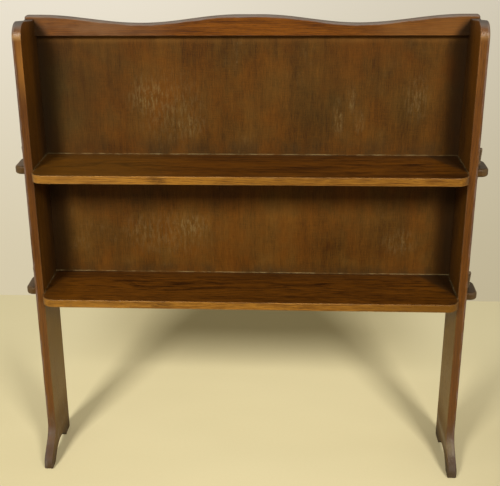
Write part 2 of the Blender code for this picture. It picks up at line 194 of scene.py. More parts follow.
def shelf_outline(low, high):
    """The plan of a shelf with its tenons, y as in the whole model."""
    shoulder = INNER_HALF - FIT
    tenon_front = TENON_MID_Y - TENON_WIDTH / 2
    tenon_back = TENON_MID_Y + TENON_WIDTH / 2
    tip = high.x - TENON_CORNER_RADIUS
    centre = (shoulder - SHELF_CORNER_RADIUS, low.y + SHELF_CORNER_RADIUS)
    tenon = [(OUTER_HALF + FIT, tenon_front)]
    tenon += arc((tip, tenon_front + TENON_CORNER_RADIUS), TENON_CORNER_RADIUS, -90, 0, TENON_CORNER_STEPS)
    tenon += arc((tip, tenon_back - TENON_CORNER_RADIUS), TENON_CORNER_RADIUS, 0, 90, TENON_CORNER_STEPS)
    tenon += [(OUTER_HALF + FIT, tenon_back)]
    right = eased(arc(centre, SHELF_CORNER_RADIUS, -90, 0, SHELF_CORNER_STEPS))
    right += eased([(shoulder, END_FRONT_Y)])
    right += eased([(shoulder, END_FRONT_Y + SKIRT), (shoulder, tenon_front)], 0)
    right += eased([(OUTER_HALF - FIT, tenon_front)], 0)
    right += eased(tenon, TENON_ARRIS / SHELF_ARRIS)
    right += eased([(OUTER_HALF - FIT, tenon_back)], 0)
    right += eased([(shoulder, tenon_back), (shoulder, high.y - EASING_RUN_OUT)], 0)
    right += eased([(shoulder, high.y)], BACK_CORNER_SHARE)
    return right + [(-x, y, share) for x, y, share in reversed(right)]


def rail_wave(share):
    """The drop of the rail's top edge, as a share of its dip."""
    if share < RAIL_DIP_SHARE:
        run = (share - RAIL_CREST_SHARE) / (RAIL_DIP_SHARE - RAIL_CREST_SHARE)
    else:
        run = (RAIL_SHOULDER_SHARE - share) / (RAIL_SHOULDER_SHARE - RAIL_DIP_SHARE)
    run = min(max(run, 0), 1)
    return (1 - math.cos(math.pi * run)) / 2


def rail_outline():
    """The rail seen from the front."""
    top, run = rail_high.z, OUTER_HALF - RAIL_END_RADIUS
    right = []
    for i in range(WAVE_STEPS):
        x = run * i / WAVE_STEPS
        right.append((x, top - RAIL_DIP * rail_wave(x / OUTER_HALF), 1))
    right += eased(arc((run, top - RAIL_END_RADIUS), RAIL_END_RADIUS, 90, 0, SMALL_CORNER_STEPS))
    right += eased([(OUTER_HALF, rail_low.z + EASING_RUN_OUT)])
    right += eased([(OUTER_HALF, rail_low.z)], RAIL_LOWER_SHARE)
    left = [(-x, z, share) for x, z, share in reversed(right[1:])]
    return left + right


def wedge_outline(low, high, side):
    """A wedge seen from the front. side is 1 on the right of the bookcase and -1 on its left."""
    inner, outer = sorted((abs(low.x), abs(high.x)))
    corners = [(inner, low.z), (inner + WEDGE_FOOT_WIDTH, low.z), (outer, high.z), (inner, high.z)]
    return [(side * x, z, 1) for x, z in corners]


# Meshes

def spread(outline):
    """The outline with points about a step apart or nearer, and each point's run along it."""
    points, run = [], 0
    for a, b in zip(outline, outline[1:] + outline[:1]):
        length = math.dist(a[:2], b[:2])
        if length < FIT / 10:
            continue
        count = max(1, round(length / ALONG_STEP))
        for i in range(count):
            t = i / count
            points.append((tuple(p + (q - p) * t for p, q in zip(a, b)), run + length * t))
        run += length
    return points


def inward(points, turn):
    """For each point of a closed outline, the mitred direction into the board."""
    directions = []
    for before, (x, y), after in zip(points[-1:] + points[:-1], points, points[1:] + points[:1]):
        a = Vector((x - before[0], y - before[1])).normalized()
        b = Vector((after[0] - x, after[1] - y)).normalized()
        normal = Vector((-a.y - b.y, a.x + b.x)).normalized() * turn
        lean = max(MITRE_LIMIT, abs(Vector((-a.y, a.x)) @ normal))
        directions.append(normal / lean)
    return directions


def new_object(name, mesh):
    """An object of the scene that takes over the mesh."""
    data = bpy.data.meshes.new(name)
    mesh.to_mesh(data)
    mesh.free()
    made = bpy.data.objects.new(name, data)
    bpy.context.scene.collection.objects.link(made)
    return made


def board(name, outline, thickness, place, arrises, seed):
    """A board cut to an outline, its arrises rounded and unevenly worn. arrises are the radii on
    its upper and lower face, in its own axes. The attribute worn is 1 along the arrises."""
    points = spread(outline)
    flat = [point[:2] for point, run in points]
    area = sum(a[0] * b[1] - b[0] * a[1] for a, b in zip(flat, flat[1:] + flat[:1]))
    normals = inward(flat, 1 if area > 0 else -1)
    mesh = bmesh.new()
    worn = mesh.verts.layers.float.new("worn")
    rings = []
    for side, arris in zip((1, -1), arrises):
        profile = [(1, 0, SKIRT, 0)]
        for k in range(ARRIS_RINGS + 1):
            a = math.pi / 2 * k / ARRIS_RINGS
            profile.append((1 - math.sin(a), 1 - math.cos(a), 0, 1 if k else BRIM_WEAR))
        profile.append((0, 1, -SKIRT, 0))
        face_rings = []
        for in_share, down_share, skirt, wear in profile:
            ring = []
            for ((x, y, share), run), normal in zip(points, normals):
                turn = Vector((run / WEAR_LENGTH, seed, side))
                radius = max(CRISP_ARRIS, arris * share * (1 + WEAR_SHARE * noise.noise(turn)))
                nick = noise.noise(Vector((run / NICK_LENGTH, seed, side * 3))) - NICK_THRESHOLD
                nick = max(0, nick) * NICK_DEPTH
                bite = nick * math.sin(math.pi * in_share) * (share > 0)
                step_in = radius * in_share + max(skirt, 0) + bite
                step_down = radius * down_share + max(-skirt, 0) + bite
                corner = Vector((x, y)) + normal * step_in
                vert = mesh.verts.new((corner.x, corner.y, side * (thickness / 2 - step_down)))
                vert[worn] = wear * min(share, 1)
                ring.append(vert)
            face_rings.append(ring)
        rings.append(face_rings)
    stack = rings[0] + rings[1][::-1]
    for above, below in zip(stack, stack[1:]):
        for i in range(len(points)):
            j = (i + 1) % len(points)
            mesh.faces.new((above[i], above[j], below[j], below[i]))
    mesh.faces.new(stack[0])
    mesh.faces.new(stack[-1])
    bmesh.ops.recalc_face_normals(mesh, faces=mesh.faces)
    piece = new_object(name, mesh)
    piece.data.shade_smooth()
    piece.matrix_world = place
    bpy.context.view_layer.update()
    piece.data.transform(piece.matrix_world)
    piece.matrix_world = Matrix.Identity(4)
    return piece


def box_cutter(low, high):
    low, high = Vector(low), Vector(high)
    place = Matrix.Translation((low + high) / 2) @ Matrix.Diagonal((*(high - low), 1))
    mesh = bmesh.new()
    bmesh.ops.create_cube(mesh, size=1.0, matrix=place)
    return new_object("cutter", mesh)


def wedge_slot(low, high, shelf_low, shelf_high, side):
    """The cutter of a wedge's slot: it takes the wedge with the fit around it."""
    inner, outer = sorted((abs(low.x), abs(high.x)))
    slope = (outer - inner - WEDGE_FOOT_WIDTH) / (high.z - low.z)
    cutter = box_cutter((-1, low.y - FIT, -1), (1, high.y + FIT, 1))
    for corner in cutter.data.vertices:
        z = shelf_high.z + OVERRUN if corner.co.z > 0 else shelf_low.z - OVERRUN
        reach = inner + WEDGE_FOOT_WIDTH + slope * (z - low.z) + FIT
        corner.co.x = side * (reach if corner.co.x * side > 0 else OUTER_HALF - FIT)
        corner.co.z = z
    return cutter


def countersink(low, high):
    """The cutter of a screw's countersink: it takes the head with the fit around it."""
    depth = SCREW_HEAD_DEPTH + OVERRUN
    mouth = SCREW_RADIUS + FIT + (SCREW_HEAD_RADIUS - SCREW_RADIUS) * depth / SCREW_HEAD_DEPTH
    middle_y = high.y + (OVERRUN - SCREW_HEAD_DEPTH) / 2
    place = Matrix.Translation(((low.x + high.x) / 2, middle_y, (low.z + high.z) / 2))
    mesh = bmesh.new()
    bmesh.ops.create_cone(mesh, cap_ends=True, segments=SCREW_SIDES, radius1=SCREW_RADIUS + FIT,
                          radius2=mouth, depth=depth,
                          matrix=place @ Matrix.Rotation(-math.pi / 2, 4, "X"))
    return new_object("cutter", mesh)


def cut(piece, cutters):
    for cutter in cutters:
        hole = piece.modifiers.new("hole", "BOOLEAN")
        hole.operation = "DIFFERENCE"
        hole.solver = "EXACT"
        hole.object = cutter
    settle(piece)
    for cutter in cutters:
        bpy.data.objects.remove(cutter, do_unlink=True)


def settle(piece):
    """Applies the piece's modifiers."""
    view = bpy.context.evaluated_depsgraph_get()
    view.update()
    made = bpy.data.meshes.new_from_object(piece.evaluated_get(view))
    piece.modifiers.clear()
    piece.data = made


def even_shading(piece):
    normals = piece.modifiers.new("even shading", "WEIGHTED_NORMAL")
    normals.keep_sharp = True
    normals.weight = FLAT_WEIGHT
    settle(piece)


# Materials

# Colours here are linear red, green and blue. The scale of a wood's noise is per metre: along the
# grain first, and then both ways across it.
DUST = (0.27, 0.20, 0.085)
TOP_DUST = (0.140, 0.130, 0.118)
PAINTED_RAIL_REFLECTION = (0.160, 0.130, 0.104)
# Painted shade and shadow: in corners, at the backs of recesses and where the ends' shadows fall
PAINTED_SHADE = (0.018, 0.009, 0.003)
RAGGED_SCALE = (45, 160, 160)
SIDE_BLEND = 0.1
RING_SWAY = 0.030
OAK_BUMP = 0.00016
PLYWOOD_BUMP = 0.00010
STEEL_BUMP = 0.00003
CLOTH_BUMP = 0.006
PLY_THICKNESS = 0.00134
PIN_STAIN_RADII = (0.0048, 0.0020)


class Nodes:
    """Builds the node tree of a new material, or adds to the tree it is given."""

    def __init__(self, name=None, tree=None):
        self.tree = tree
        if tree is None:
            self.material = bpy.data.materials.new(name)
            self.material.use_nodes = True
            self.tree = self.material.node_tree
            self.shader = self.tree.nodes["Principled BSDF"]

    def node(self, kind, inputs=(), **settings):
        made = self.tree.nodes.new(kind)
        for name, value in settings.items():
            setattr(made, name, value)
        for key, value in dict(inputs).items():
            self.feed(made.inputs[key], value)
        return made

    def feed(self, socket, value):
        if isinstance(value, bpy.types.NodeSocket):
            self.tree.links.new(value, socket)
        else:
            socket.default_value = value

    def math(self, operation, a, b=0.0, c=0.0, clamp=False):
        made = self.node("ShaderNodeMath", operation=operation, use_clamp=clamp)
        for socket, value in zip(made.inputs, (a, b, c)):
            self.feed(socket, value)
        return made.outputs[0]

    def times(self, first, *others):
        """The product of the values."""
        for other in others:
            first = self.math("MULTIPLY", first, other)
        return first

    def strongest(self, first, *others):
        """The greatest of the values."""
        for other in others:
            first = self.math("MAXIMUM", first, other)
        return first

    def plus(self, base, layer, weight):
        """The base with a layer added to it by its weight."""
        return self.math("MULTIPLY_ADD", layer, weight, base)

    def rest(self, share):
        """What a share leaves of 1."""
        return self.math("SUBTRACT", 1.0, share)

    def vector(self, operation, a, b=(0, 0, 0)):
        made = self.node("ShaderNodeVectorMath", operation=operation)
        self.feed(made.inputs[0], a)
        self.feed(made.inputs[1], b)
        return made.outputs["Value" if operation == "LENGTH" else "Vector"]

    def noise(self, place, scale, detail=3.0, roughness=0.55, distortion=0.0):
        """Noise from 0 to 1 around 0.5."""
        scaled = self.vector("MULTIPLY", place, scale)
        made = self.node("ShaderNodeTexNoise", {"Vector": scaled, "Scale": 1.0, "Detail": detail,
                                                "Roughness": roughness, "Distortion": distortion})
        return made.outputs[0]

    def layered(self, layers):
        """A tone from 0 to 1 around 0.5, made up of noises and the weight of each."""
        tone = 0.5
        for layer, weight in layers:
            tone = self.plus(tone, self.math("SUBTRACT", layer, 0.5), weight)
        return self.math("ADD", tone, 0.0, clamp=True)

    def span(self, value, low, high, to_low=0.0, to_high=1.0, smooth=True):
        """The value's way from low to high, as a way from one result to the other."""
        made = self.node("ShaderNodeMapRange", interpolation_type="SMOOTHSTEP" if smooth else "LINEAR")
        for key, number in zip(range(5), (value, low, high, to_low, to_high)):
            self.feed(made.inputs[key], number)
        return made.outputs[0]

    def near(self, value, target, width):
        """1 where a value lies at the target, falling to 0 at the width from it."""
        gap = self.math("ABSOLUTE", self.math("SUBTRACT", value, target))
        return self.span(gap, width, 0.0)

    def by_side(self, x, left, right):
        """One result on the left of the bookcase and another on its right."""
        return self.span(x, -SIDE_BLEND, SIDE_BLEND, left, right)

    def mix(self, share, a, b, kind="MIX"):
        made = self.node("ShaderNodeMix", data_type="RGBA", blend_type=kind)
        self.feed(made.inputs["Factor"], share)
        for socket, value in zip((made.inputs[6], made.inputs[7]), (a, b)):
            self.feed(socket, value if isinstance(value, bpy.types.NodeSocket) else (*value, 1.0))
        return made.outputs[2]

    def place(self, order="XYZ"):
        """Object coordinates in metres, with the axes in another order, and each by itself."""
        own = self.node("ShaderNodeTexCoord").outputs["Object"]
        parts = self.node("ShaderNodeSeparateXYZ", {"Vector": own}).outputs
        turned = self.node("ShaderNodeCombineXYZ",
                           {i: parts["XYZ".index(axis)] for i, axis in enumerate(order)})
        return turned.outputs[0], parts[0], parts[1], parts[2]

    def normals(self):
        """The way the surface faces, axis by axis."""
        own = self.node("ShaderNodeTexCoord").outputs["Normal"]
        return self.node("ShaderNodeSeparateXYZ", {"Vector": own}).outputs

    def across_face(self, faces, axis):
        """How squarely the surface faces an axis, from 0 to 1."""
        return self.math("ABSOLUTE", faces["XYZ".index(axis)])

    def finish(self, colour, roughness, height, depth, sheen=0.5):
        """Feeds the shader. height runs from about 0 to 1, and depth is its size in metres."""
        bump = self.node("ShaderNodeBump", {"Strength": 1.0, "Distance": depth, "Height": height})
        looks = {"Base Color": colour, "Roughness": roughness, "Normal": bump.outputs[0],
                 "Specular IOR Level": sheen}
        for key, value in looks.items():
            self.feed(self.shader.inputs[key], value)
        return self.material


def oak(name, grain, pith, palette, gloss=0.42, marks=None):
    """Stained oak. grain is the axis it runs along. pith is where the heart of the tree lies, in the two
    other axes. marks may add dust, scuffs, other tones, and painted shade and light to the colour."""
    nodes = Nodes(name)
    place, *axes = nodes.place({"X": "XYZ", "Z": "ZXY"}[grain])
    faces = nodes.normals()

    sway = nodes.vector("MULTIPLY", place, (2.2, 7.0, 7.0))
    sway = nodes.node("ShaderNodeTexNoise", {"Vector": sway, "Scale": 1.0, "Detail": 2.0}).outputs["Color"]
    sway = nodes.vector("SUBTRACT", sway, (0.5, 0.5, 0.5))
    sway = nodes.vector("MULTIPLY", sway, (0, RING_SWAY, RING_SWAY))
    across = nodes.vector("MULTIPLY", nodes.vector("SUBTRACT", place, (0, *pith)), (0, 1, 1))
    radius = nodes.vector("LENGTH", nodes.vector("ADD", across, sway))
    ring = nodes.math("FRACT", nodes.math("DIVIDE", radius, palette["ring"]))
    late = nodes.times(nodes.span(ring, 0.0, 0.42), nodes.span(ring, 1.0, 0.93))

    streak = nodes.noise(place, palette.get("streak", (4.5, 95, 95)), 5.0, 0.65)
    dash = nodes.noise(place, (28, 330, 330), 3.0, 0.6)
    fibre = nodes.noise(place, (40, 1100, 1100), 2.0, 0.6)
    patch = nodes.noise(place, (3.2, 10.0, 10.0), 3.0, 0.5)
    pore = nodes.span(nodes.noise(place, (110, 1700, 1700), 1.0, 0.5), 0.55, 0.66)
    pore = nodes.times(pore, nodes.rest(nodes.times(late, 0.75)))

    tone = nodes.layered(zip((streak, late, dash, fibre, patch), palette["weights"]))
    colour = nodes.mix(tone, palette["dark"], palette["light"])
    # What doesn't face the palette's face axis takes the lighter edge colours: partly painted light on the
    # fronts that face the lamps
    if "edge_dark" in palette:
        on_edge = nodes.span(nodes.across_face(faces, palette["face"]), 0.85, 0.45)
        edge = nodes.mix(tone, palette["edge_dark"], palette["edge_light"])
        colour = nodes.mix(on_edge, colour, edge)
    colour = nodes.mix(nodes.times(pore, 0.62), colour, [c * 0.28 for c in palette["dark"]])
    end_grain = nodes.span(nodes.across_face(faces, grain), 0.70, 0.92)
    colour = nodes.mix(nodes.times(end_grain, 0.75), colour, palette["end"])

    worn = nodes.node("ShaderNodeAttribute", attribute_name="worn").outputs["Fac"]
    rub = nodes.noise(place, (26, 60, 60), 3.0, 0.6)
    worn = nodes.times(worn, nodes.span(rub, 0.34, 0.66, 0.05, palette["wear"]))
    if "inner_wear" in palette:
        outward = nodes.span(nodes.math("ABSOLUTE", axes[0]), INNER_HALF + 0.003, INNER_HALF + 0.010)
        worn = nodes.times(worn, nodes.span(outward, 0, 1, palette["inner_wear"], 1))
    colour = nodes.mix(worn, colour, palette["pale"])

    roughness = nodes.plus(gloss - 0.08, dash, 0.16)
    roughness = nodes.plus(roughness, pore, 0.2)
    roughness = nodes.plus(roughness, end_grain, 0.15)
    if "edge_dark" in palette:
        roughness = nodes.plus(roughness, on_edge, palette["edge_gloss"])
    if marks:
        colour, roughness = marks(nodes, place, axes, faces, colour, roughness)

    height = nodes.plus(nodes.times(fibre, 0.3), pore, -1.0)
    height = nodes.plus(height, late, 0.25)
    height = nodes.plus(height, dash, 0.3)
    return nodes.finish(colour, roughness, height, OAK_BUMP, palette["sheen"])


def dust_and_sheen_on_tops(nodes, place, faces, colour, roughness, strength, lean=0.45, tone=TOP_DUST):
    """Dust on what faces up, which on the rail is a painted reflection of the pale wall. lean is how far up
    a surface must face to hold some.
    """
    cloud = nodes.noise(place, (18, 60, 60), 3.0, 0.6)
    upward = nodes.span(faces[2], lean, lean + 0.4)
    dust_and_sheen = nodes.times(upward, nodes.span(cloud, 0.2, 0.7, 0.6, 1.0), strength)
    return nodes.mix(dust_and_sheen, colour, tone), nodes.plus(roughness, dust_and_sheen, 0.2)


# The shelves
KNOT = (0.060, 0.022, 0.0030)
KNOT_X = -0.182
KNOT_BELOW_TOP = 0.008
KNOT_HALF_LENGTH = 0.032
KNOT_HALF_HEIGHT = 0.011
EDGE_FADED = (0.100, 0.040, 0.0040)
EDGE_PALE = (0.420, 0.210, 0.045)
TOP_DARKER = (0.016, 0.0045, 0.0002)
TOP_LIGHTER = (0.150, 0.070, 0.0080)
TENON_ROOT = (0.074, 0.034, 0.0075)
TENON_SIDE = (0.062, 0.039, 0.018)
TENON_TOP_PAINTED_LIGHT = (0.200, 0.122, 0.060)
CORNER_SPREAD = 0.072


def shelf_marks(top):
    """Marks for the shelf with its top at that height: a knot and uneven tones along the front, uneven tones
    on top, greyer tenons with tops painted lighter, painted shade and shadows at the back and the ends, and
    dust in the joints."""
    is_upper = top > END_HEIGHT / 2

    def marks(nodes, place, axes, faces, colour, roughness):
        x, y, z = axes
        reach = nodes.math("ABSOLUTE", x)
        on_top = nodes.span(z, top - 0.0012, top - 0.0004)
        on_front = nodes.span(faces[1], -0.2, -0.7)
        cloud = nodes.noise(place, (6, 20, 20), 3.0, 0.6)

        spot = nodes.vector("SUBTRACT", place, (KNOT_X, 0, top - KNOT_BELOW_TOP))
        spot = nodes.vector("MULTIPLY", spot, (1 / KNOT_HALF_LENGTH, 0, 1 / KNOT_HALF_HEIGHT))
        swirl = nodes.noise(place, (60, 300, 300), 3.0, 0.7)
        knot = nodes.times(nodes.span(nodes.vector("LENGTH", spot), 1.1, 0.2),
                           nodes.span(swirl, 0.38, 0.60, 0.1, 0.85),
                           nodes.math("LESS_THAN", y, END_FRONT_Y))
        colour = nodes.mix(knot, colour, KNOT)
        if is_upper:
            faded = nodes.math("SUBTRACT", nodes.span(x, -0.20, 0.0, 0.0, 0.44),
                               nodes.span(x, 0.10, 0.38, 0.0, 0.26))
        else:
            faded = nodes.strongest(nodes.span(x, 0.10, 0.40, 0.20, 1.0),
                                    nodes.span(x, -0.15, -0.40, 0.0, 0.30))
        colour = nodes.mix(nodes.times(faded, on_front, 0.72), colour, EDGE_FADED)
        pale = nodes.times(nodes.span(x, -0.16, -0.30), on_front, 0.13 if is_upper else 0.05)
        colour = nodes.mix(pale, colour, EDGE_PALE)

        middle = nodes.times(nodes.near(x, 0.0, 0.24), on_top)
        colour = nodes.mix(nodes.times(middle, 0.20), colour, TOP_DARKER)
        if is_upper:
            lighter = nodes.times(nodes.span(x, -0.08, -0.30), on_top)
            colour = nodes.mix(nodes.times(lighter, 0.30), colour, TOP_LIGHTER)

        tenon = nodes.times(nodes.span(reach, OUTER_HALF - 0.002, OUTER_HALF + 0.002),
                            nodes.span(cloud, 0.25, 0.65, 0.6, 0.92))
        # The tenons' tops are painted lighter than their sides: painted light
        tenon_tone = nodes.mix(nodes.span(faces[2], 0.78, 0.97), TENON_SIDE, TENON_TOP_PAINTED_LIGHT)
        tip = nodes.span(reach, OUTER_HALF + 0.003, OUTER_HALF + 0.020)
        colour = nodes.mix(tenon, colour, nodes.mix(tip, TENON_ROOT, tenon_tone))

        # Painted shade along the ends and at the back of the top
        deep_shade = nodes.strongest(nodes.span(reach, INNER_HALF - 0.07, INNER_HALF),
                               nodes.times(nodes.span(y, END_BACK_Y - 0.06, END_BACK_Y), 0.7))
        deep_shade = nodes.times(deep_shade, nodes.span(cloud, 0.3, 0.7, 0.2, 0.6))
        # Painted shadow of each end on the top, widening towards the back, stronger on the right
        start = nodes.span(y, END_FRONT_Y, END_BACK_Y, 0.0, CORNER_SPREAD, smooth=False)
        start = nodes.math("SUBTRACT", INNER_HALF, start)
        corner = nodes.span(nodes.math("SUBTRACT", reach, start), -0.010, 0.012)
        corner = nodes.times(corner, nodes.by_side(x, 0.36, 0.80))
        colour = nodes.mix(nodes.times(nodes.strongest(deep_shade, corner), on_top), colour, PAINTED_SHADE)

        ragged = nodes.noise(place, RAGGED_SCALE, 3.0, 0.65)
        joint = nodes.strongest(nodes.near(y, END_BACK_Y, 0.0030),
                                nodes.times(nodes.near(reach, INNER_HALF, 0.0042), 0.75))
        dust = nodes.times(joint, on_top, nodes.span(ragged, 0.40, 0.64, 0.1, 1.0))
        colour = nodes.mix(nodes.times(dust, 0.66), colour, DUST)
        return colour, nodes.plus(roughness, dust, 0.4)
    return marks


# The ends
LEG_DULL = (0.190, 0.104, 0.019)
LEG_EDGE_DULL = (0.140, 0.088, 0.042)
FOOT = (0.085, 0.055, 0.040)
FOOT_RUBBED = (0.25, 0.20, 0.16)
FOOT_BAND = (0.24, 0.20, 0.13)
SOLE = (0.032, 0.022, 0.011)
# EDGE_SHADES paint shade on the fronts; the last three colours are painted light and a painted highlight
EDGE_SHADES = ((0.75, 0.68, 0.45), (0.85, 0.83, 0.83))
PAINTED_LIGHT_FRONT = (0.270, 0.108, 0.015)
PAINTED_LIGHT_INSIDE = (0.175, 0.058, 0.0030)
PAINTED_CORNER_HIGHLIGHT = (0.400, 0.225, 0.075)


def end_marks(nodes, place, axes, faces, colour, roughness):
    """Marks for an end: duller wood below the lower shelf, painted shade towards the back, scuffed feet,
    painted shade, light and highlight along the front edge, and dust on top and in the joints with the
    shelves."""
    x, y, z = axes
    reach = nodes.math("ABSOLUTE", x)
    lower_shelf_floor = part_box("lower_shelf")[0].z
    inside = nodes.span(reach, INNER_HALF + 0.0015, INNER_HALF)
    outer = nodes.span(reach, INNER_HALF + 0.008, INNER_HALF + 0.015)
    below = nodes.span(z, lower_shelf_floor, lower_shelf_floor - 0.008)
    low = nodes.span(z, 0.13, 0.06)
    on_front = nodes.span(faces[1], -0.3, -0.8)
    squarely_front = nodes.span(faces[1], -0.4, -0.8)
    cloud = nodes.noise(place, (5, 22, 22), 4.0, 0.6)
    scuff = nodes.noise(place, (30, 75, 75), 4.0, 0.65)

    dull = nodes.times(inside, below, nodes.span(cloud, 0.25, 0.75, 0.55, 0.95))
    colour = nodes.mix(dull, colour, LEG_DULL)
    # Painted shade: the inner faces darker towards the back, above the lower shelf
    deep_shade = nodes.times(nodes.span(y, END_FRONT_Y + 0.03, END_BACK_Y), inside, nodes.rest(below),
                       nodes.span(cloud, 0.3, 0.7, 0.4, 0.8))
    colour = nodes.mix(deep_shade, colour, PAINTED_SHADE)

    foot = nodes.times(low, nodes.span(scuff, 0.30, 0.62, 0.35, 0.9),
                       nodes.span(inside, 0, 1, 1.0, 0.4))
    colour = nodes.mix(foot, colour, FOOT)
    rubbed = nodes.times(low, nodes.span(scuff, 0.56, 0.70, 0.0, 0.6))
    colour = nodes.mix(rubbed, colour, FOOT_RUBBED)
    band = nodes.times(nodes.near(z, 0.052, 0.018), nodes.by_side(x, 0.10, 0.62),
                       nodes.span(scuff, 0.32, 0.60, 0.5, 1.0))
    colour = nodes.mix(band, colour, FOOT_BAND)
    sole = nodes.times(nodes.span(z, 0.050, 0.014), nodes.by_side(x, 0.56, 0.74))
    colour = nodes.mix(sole, colour, SOLE)

    # Painted shade: the fronts darker below the top; the outer band less so and greyer, a painted reflection
    shaded = nodes.times(on_front, nodes.span(z, END_HEIGHT - 0.07, END_HEIGHT - 0.16))
    colour = nodes.mix(shaded, colour, nodes.mix(outer, *EDGE_SHADES), "MULTIPLY")
    colour = nodes.mix(nodes.times(on_front, below, 0.12), colour, LEG_EDGE_DULL)
    # Painted light: the left end's front lighter and more orange high up
    orange = nodes.times(nodes.near(z, END_HEIGHT - 0.080, 0.095), squarely_front,
                         nodes.by_side(x, 1.0, 0.0), nodes.span(outer, 1.0, 0.0), 0.62)
    colour = nodes.mix(orange, colour, PAINTED_LIGHT_FRONT)
    # Painted light: the inner faces lighter near the front, high up
    orange = nodes.times(nodes.span(y, END_FRONT_Y + 0.085, END_FRONT_Y + 0.035),
                         nodes.span(z, END_HEIGHT - 0.20, END_HEIGHT - 0.08), inside, 0.40)
    colour = nodes.mix(orange, colour, PAINTED_LIGHT_INSIDE)
    # Painted highlight at the top front corners, brighter on the left
    corner = nodes.times(nodes.near(z, END_HEIGHT - 0.025, 0.011), squarely_front,
                         nodes.by_side(x, 0.54, 0.32))
    colour = nodes.mix(corner, colour, PAINTED_CORNER_HIGHLIGHT)

    roughness = nodes.plus(roughness, low, 0.25)
    high_up = nodes.times(nodes.span(z, END_HEIGHT - 0.03, END_HEIGHT - 0.02), 0.65)
    colour, roughness = dust_and_sheen_on_tops(nodes, place, faces, colour, roughness, high_up)
    joint = nodes.strongest(*[nodes.near(z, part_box(shelf)[1].z + 0.0006, 0.0020) for shelf in SHELVES])
    ragged = nodes.noise(place, RAGGED_SCALE, 3.0, 0.65)
    dust = nodes.times(joint, inside, nodes.span(ragged, 0.38, 0.62, 0.1, 0.8))
    colour = nodes.mix(nodes.times(dust, 0.6), colour, DUST)
    return colour, nodes.plus(roughness, dust, 0.4)


# The rail
RAIL_PINK = (0.190, 0.090, 0.036)
RAIL_FADED = (0.215, 0.088, 0.018)


def rail_marks(nodes, place, axes, faces, colour, roughness):
    """Marks for the rail: faded stretches, pinker on the left, painted shadows of the ends in its corners
    with them, and on top a painted reflection of the pale wall, grey as dust."""
    x, _, z = axes
    cloud = nodes.noise(place, (9, 24, 24), 3.0, 0.6)
    faded = nodes.times(nodes.span(x, -0.08, -0.36), nodes.span(cloud, 0.3, 0.62, 0.25, 0.8))
    colour = nodes.mix(faded, colour, RAIL_PINK)
    faded = nodes.times(nodes.span(x, 0.16, 0.34), nodes.span(cloud, 0.3, 0.62, 0.2, 0.6))
    colour = nodes.mix(faded, colour, RAIL_FADED)
    # Painted shadow of each end on the rail, in its corners with them
    drop = nodes.times(nodes.span(z, rail_high.z - 0.002, rail_low.z), 0.022)
    start = nodes.math("SUBTRACT", INNER_HALF - 0.006, drop)
    reach = nodes.math("SUBTRACT", nodes.math("ABSOLUTE", x), start)
    painted_end_shadow = nodes.times(nodes.span(reach, -0.010, 0.012),
                        nodes.span(z, rail_high.z - 0.003, rail_high.z - 0.014),
                        nodes.span(cloud, 0.3, 0.7, 0.75, 0.95))
    colour = nodes.mix(painted_end_shadow, colour, PAINTED_SHADE)
    # Grey on the rail's top: a painted reflection of the pale wall
    return dust_and_sheen_on_tops(nodes, place, faces, colour, roughness, 0.90, 0.12, PAINTED_RAIL_REFLECTION)


# Pale scuffs on the back panel: across, height, width, tallness and strength of each
SCUFFS = (
    (-0.211, 0.808, 0.055, 0.050, 0.9),
    (-0.135, 0.748, 0.048, 0.034, 0.9),
    (-0.165, 0.785, 0.085, 0.090, 0.5),
    (-0.131, 0.518, 0.050, 0.034, 0.9),
    (-0.235, 0.507, 0.060, 0.052, 0.5),
    (-0.180, 0.505, 0.120, 0.070, 0.4),
    (0.184, 0.763, 0.014, 0.045, 0.8),
    (0.211, 0.800, 0.012, 0.040, 0.7),
    (0.228, 0.755, 0.014, 0.030, 0.7),
    (0.345, 0.805, 0.030, 0.055, 0.7),
    (-0.022, 0.919, 0.006, 0.006, 1.0),
    (-0.029, 0.880, 0.005, 0.004, 1.0),
    (0.325, 0.486, 0.045, 0.035, 0.6),
)
# Where the veneer is olive rather than orange: the same five numbers
OLIVES = (
    (-0.400, 0.800, 0.085, 0.160, 1.0),
    (-0.344, 0.842, 0.050, 0.060, 0.8),
    (0.150, 0.800, 0.110, 0.120, 0.7),
    (0.330, 0.790, 0.080, 0.110, 0.6),
    (0.040, 0.830, 0.045, 0.060, 0.6),
    (-0.400, 0.500, 0.060, 0.090, 0.5),
    (0.270, 0.500, 0.090, 0.060, 0.4),
)
SCUFF = (0.210, 0.138, 0.046)
UNDER_RAIL = (0.190, 0.082, 0.014)
PIN_STAIN = (0.030, 0.014, 0.007)
PLY_TONES = ((0.06, 0.03, 0.012), (0.30, 0.19, 0.09))


def patches(nodes, place, rows):
    """The strongest of the soft round patches in a table, at each place."""
    spots = []
    for across, height, width, tall, strength in rows:
        offset = nodes.vector("SUBTRACT", place, (height, across, 0))
        gap = nodes.vector("LENGTH", nodes.vector("MULTIPLY", offset, (1 / tall, 1 / width, 0)))
        spots.append(nodes.span(gap, 1.2, 0.1, 0.0, strength))
    return nodes.strongest(*spots)


def pin_stains(nodes, x, y, z):
    """Stain in the panel's rear around each pin."""
    boxes = [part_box(name) for name in frame["nodes"] if name.startswith("panel_pin")]
    pins = {(round(abs(low.x + high.x) / 2, 4), round((low.z + high.z) / 2, 4)) for low, high in boxes}
    folded = nodes.node("ShaderNodeCombineXYZ", {0: nodes.math("ABSOLUTE", x), 2: z}).outputs[0]
    spots = []
    for across, height in sorted(pins):
        gap = nodes.vector("LENGTH", nodes.vector("SUBTRACT", folded, (across, 0, height)))
        spots.append(nodes.span(gap, *PIN_STAIN_RADII))
    return nodes.times(nodes.strongest(*spots), 0.75, nodes.math("GREATER_THAN", y, END_BACK_Y + 0.002))


